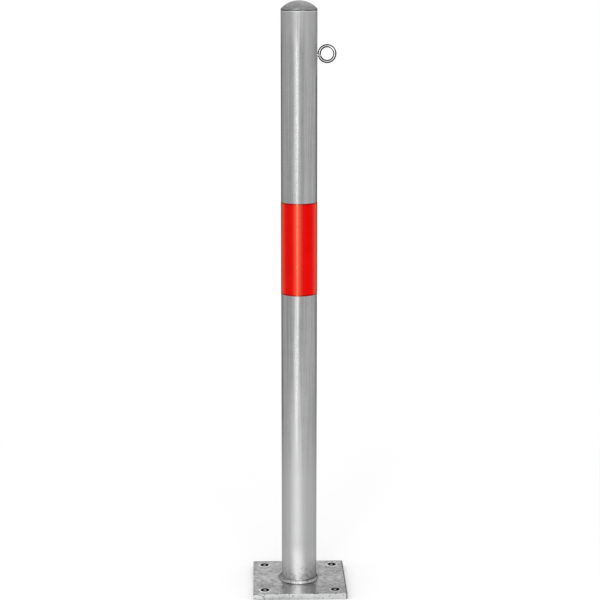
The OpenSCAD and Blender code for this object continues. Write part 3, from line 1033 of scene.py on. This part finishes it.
# %% [markdown]
# ## The foot weld
# A welder lays the bead in small steps, and each leaves a ripple. The zinc softens them.
# The bead is turned like the tube, and a second tree then waves its face and draws it in on
# the right, where it is thinner.

# %% Weld
weld_out, weld_up, weld_bulge, weld_sunk = 6 * mm, 5.5 * mm, 0.8 * mm, 0.5 * mm
chord = math.hypot(weld_out, weld_up)
bow = (chord ** 2 / 4 + weld_bulge ** 2) / (2 * weld_bulge)
bow_centre = (tube_r + weld_out / 2 - (bow - weld_bulge) * weld_up / chord,
              plate_t + weld_up / 2 - (bow - weld_bulge) * weld_out / chord)
toe_angle = math.degrees(math.atan2(plate_t - bow_centre[1], tube_r + weld_out - bow_centre[0]))
top_angle = math.degrees(math.atan2(plate_t + weld_up - bow_centre[1], tube_r - bow_centre[0]))
weld_section = arc(bow_centre, bow, toe_angle, top_angle, 14)
weld_section += [(tube_r - weld_sunk, plate_t + weld_up), (tube_r - weld_sunk, plate_t)]
weld_section += [weld_section[0]]

beads, beads_in = new_tree("Weld bead", Segments="Int", Ripples="Float", Ripple_height="Float",
                           Unevenness="Float", Thin_side="Float", Material="Material")
bead = turned_points(beads, beads_in["Geometry"], beads_in["Segments"])
bead_place = node(beads, "GeometryNodeInputPosition").outputs[0]
bead_x, bead_y, bead_z = axes(beads, bead_place)
bead_angle = sums(beads, "ARCTAN2", bead_y, bead_x)
bead_radius = radius_of(beads, bead_x, bead_y)
wander = node(beads, "ShaderNodeTexNoise", {"Vector": bead_place, "Scale": 120.0,
                                            "Detail": 2.0}).outputs["Fac"]
lean = times(beads, sums(beads, "SUBTRACT", bead_z, plate_t), 260.0)
phase = sums(beads, "MULTIPLY_ADD", bead_angle, beads_in["Ripples"], lean)
phase = sums(beads, "MULTIPLY_ADD", wander, 5.0, phase)
wave = times(beads, sums(beads, "SINE", phase), beads_in["Ripple height"])
uneven = times(beads, sums(beads, "SUBTRACT", wander, 0.5), beads_in["Unevenness"])
amount = times(beads, sums(beads, "ADD", wave, uneven),
               spread(beads, bead_radius, tube_r, tube_r + 1.2 * mm, 0, 1),
               spread(beads, bead_z, plate_t, plate_t + 1.2 * mm, 0, 1))


def pushed(tree, geometry, direction, amount):
    """Moves the points of a geometry along a direction."""
    offset = node(tree, "ShaderNodeVectorMath", {0: direction}, operation="SCALE")
    tree.links.new(amount, offset.inputs["Scale"])
    return node(tree, "GeometryNodeSetPosition", {"Geometry": geometry,
                                                  "Offset": offset.outputs[0]}).outputs[0]


rippled = pushed(beads, bead, node(beads, "GeometryNodeInputNormal").outputs[0], amount)
thin_side = spread(beads, sums(beads, "COSINE", bead_angle), 0.1, 0.9, 1.0,
                   beads_in["Thin side"])
beyond = sums(beads, "MAXIMUM", sums(beads, "SUBTRACT", bead_radius, tube_r), 0.0)
drawn_in = times(beads, sums(beads, "SUBTRACT", thin_side, 1.0), beyond)
outward = node(beads, "ShaderNodeCombineXYZ", {"X": sums(beads, "COSINE", bead_angle),
                                               "Y": sums(beads, "SINE", bead_angle)})
end_tree(beads, pushed(beads, rippled, outward.outputs[0], drawn_in), beads_in["Material"])

weld_row = mesh_object("weld", [(r, 0, z) for r, z in weld_section])
weld = run_tree(weld_row, beads, {"Segments": 480, "Ripples": 62.0,
                                  "Ripple height": 0.16 * mm, "Unevenness": 1.6 * mm,
                                  "Thin side": 0.5, "Material": weld_zinc})
close_up(weld)
finish_piece(weld, "foot_weld", 60)

# %% [markdown]
# ## The end cap
# A cast cap with a low dome. Its rim is as wide as the tube and bevelled below, which
# leaves the fine dark joint. Its skirt grips the bore out of sight.

# %% Cap
cap_rim, cap_bevel, cap_wall, cap_soft = 2.5 * mm, 0.6 * mm, 2.5 * mm, 0.5 * mm
skirt_r, skirt_low = 26.95 * mm, tube_top - 22 * mm
dome_rise = post_top - tube_top - cap_rim
dome_r = (tube_r ** 2 + dome_rise ** 2) / (2 * dome_rise)
dome_z = post_top - dome_r
hollow_r = skirt_r - cap_wall
inner_r = dome_r - cap_wall
inner_angle = math.degrees(math.acos(hollow_r / inner_r))
soft_x = tube_r - cap_soft
soft_z = dome_z + math.sqrt((dome_r - cap_soft) ** 2 - soft_x ** 2)
soft_end = math.degrees(math.atan2(soft_z - dome_z, soft_x))
cap_section = [(hollow_r, skirt_low), (skirt_r, skirt_low), (skirt_r, tube_top)]
cap_section += [(tube_r - cap_bevel, tube_top), (tube_r, tube_top + cap_bevel)]
cap_section += arc((soft_x, soft_z), cap_soft, 0, soft_end, 5)
cap_section += arc((0, dome_z), dome_r, soft_end, 90, 28)[1:]
cap_section += arc((0, dome_z), inner_r, 90, inner_angle, 14)
cap_section += [(hollow_r, skirt_low)]
cap_section = [(max(r, 0.0), z) for r, z in cap_section]
cap = turn("cap", cap_section, 144, cap_metal)
finish_piece(cap, "end_cap", 30)

# %% [markdown]
# ## The reflective band
# A strip of film goes once round the tube and overlaps itself at the back. Its section is
# a closed loop: a round outer line that climbs on to its own start, and a round inner
# line. The loop is carried up in rows, the outer edges softened a little.

# %% Band
film_t, film_soft = 0.4 * mm, 0.12 * mm
lap, climb = 20 * mm / tube_r, 1.5 * mm / tube_r
lap_start = math.pi / 2 - lap / 2
lap_stop = lap_start + lap


def layers(angle):
    """Thickness of the film at an angle, two layers on the overlap."""
    if angle < lap_start - climb or angle > lap_stop:
        return film_t
    if angle < lap_start:
        return film_t * (1 + (angle - lap_start + climb) / climb)
    return 2 * film_t


step_angles = list(np.linspace(0, 2 * math.pi, 192, endpoint=False))
step_angles += [lap_start - climb, lap_start, lap_stop, lap_stop + 1e-4]
step_angles.sort()
low_z, high_z, inner_share = band_low[2], band_high[2], 1 - film_soft / film_t
band_rows = [(0, low_z), (inner_share, low_z), (1, low_z + film_soft), (1, high_z - film_soft),
             (inner_share, high_z), (0, high_z), (0, low_z)]
band_grid = np.array([[((tube_r + share * layers(a)) * math.cos(a),
                        (tube_r + share * layers(a)) * math.sin(a), z)
                       for a in step_angles + step_angles[:1]] for share, z in band_rows])
band = mesh_object("band", band_grid.reshape(-1, 3),
                   grid_faces(len(band_rows), len(step_angles) + 1, 0))
band.data.materials.append(red_film)
close_up(band, 0.001 * mm)
finish_piece(band, "reflective_band", 30)

# %% [markdown]
# ## The insert
# A threaded insert is crimped in the wall, because the tube is too thin for a thread. It
# is turned about Z like the others and then laid along X, in its mesh.

# %% Insert
face_x, back_x = insert_high[0], insert_low[0]
barrel_r, bore_r, mouth = 4.5 * mm, 3.0 * mm, 0.5 * mm
fold_r, fold_t = 6.1 * mm, 2 * mm
fold_x = math.sqrt(tube_ir ** 2 - fold_r ** 2)
rim_soft = 0.2 * mm
insert_section = [(bore_r, back_x), (barrel_r, back_x), (barrel_r, fold_x - fold_t),
                  (fold_r, fold_x - fold_t), (fold_r, fold_x), (barrel_r, fold_x),
                  (barrel_r, seat_x), (rim_r, seat_x)]
insert_section += arc((rim_r - rim_soft, face_x - rim_soft), rim_soft, 0, 90, 4)
insert_section += [(bore_r + mouth, face_x), (bore_r, face_x - mouth), (bore_r, back_x)]
insert = turn("insert", insert_section, 72, insert_zinc)
insert.data.transform(Matrix.Translation((0, 0, screw_z))
                      @ Matrix.Rotation(math.pi / 2, 4, "Y"))
finish_piece(insert, "rivet_nut", 30)

# %% [markdown]
# ## The chain eye
# One piece of wire: a straight shank, a tight bend and almost a full ring, cut just short
# of the bend. The middle line is a curve, and a Geometry Nodes tree sweeps a round
# section along it. The ring is first made too long, and then its end is cut on a plane.

# %% Eye
neck_x = face_x + 0.05 * mm + wire_r
end_gap = 0.4 * mm
reach = neck_bend + wire_r + end_gap
span = ring_r + neck_bend
end_below = math.acos((span ** 2 + ring_r ** 2 - reach ** 2) / (2 * span * ring_r))
shank_end = seat_x - 19 * mm
bend_x = neck_x - neck_bend
spare = math.radians(14)
eye_line = [(x, screw_z) for x in np.linspace(shank_end, bend_x, 20)]
eye_line += [(bend_x + neck_bend * math.sin(a), eye_z - neck_bend * math.cos(a))
             for a in np.linspace(0, math.pi / 2, 25)[1:]]
eye_line += [(ring_x + ring_r * math.cos(a), eye_z + ring_r * math.sin(a))
             for a in np.linspace(math.pi, -math.pi + end_below - spare, 130)[1:]]
eye_curve = bpy.data.curves.new("eye", "CURVE")
eye_curve.dimensions = "3D"
spline = eye_curve.splines.new("POLY")
spline.points.add(len(eye_line) - 1)
for point, (x, z) in zip(spline.points, eye_line):
    point.co = (x, 0, z, 1)

sweeping, sweeping_in = new_tree("Bent wire", Wire_radius="Float", Sides="Int",
                                 Material="Material")
round_wire = node(sweeping, "GeometryNodeCurvePrimitiveCircle",
                  {"Resolution": sweeping_in["Sides"], "Radius": sweeping_in["Wire radius"]})
swept = node(sweeping, "GeometryNodeCurveToMesh", {"Curve": sweeping_in["Geometry"],
                                                   "Profile Curve": round_wire.outputs[0],
                                                   "Fill Caps": True})
end_tree(sweeping, swept.outputs[0], sweeping_in["Material"])
eye = run_tree(new_object("eye", eye_curve), sweeping,
               {"Wire radius": wire_r, "Sides": 40, "Material": bright_zinc})

# %% The eye's cut end
end_place = Vector((ring_x - ring_r * math.cos(end_below), 0,
                    eye_z - ring_r * math.sin(end_below)))
bend_centre = Vector((bend_x, 0, eye_z))
to_bend = (bend_centre - end_place).normalized()
work = bmesh.new()
work.from_mesh(eye.data)
bmesh.ops.remove_doubles(work, verts=work.verts, dist=0.001 * mm)


def on_spare_end(middle):
    """Whether a point is on the ring's last stretch, and not on the bend or the shank."""
    return (middle.x < end_place.x + neck_bend and middle.z < eye_z
            and (middle - bend_centre).length > neck_bend + wire_r + 0.02 * mm)


near_end = [f for f in work.faces if on_spare_end(f.calc_center_median())]
touched = list({v for f in near_end for v in f.verts} | {e for f in near_end for e in f.edges})
bmesh.ops.bisect_plane(work, geom=touched + near_end, plane_co=end_place, plane_no=to_bend,
                       clear_outer=True)
bmesh.ops.holes_fill(work, edges=[e for e in work.edges if e.is_boundary], sides=0)
work.to_mesh(eye.data)
work.free()
close_up(eye)
finish_piece(eye, "eye_bolt", 40)
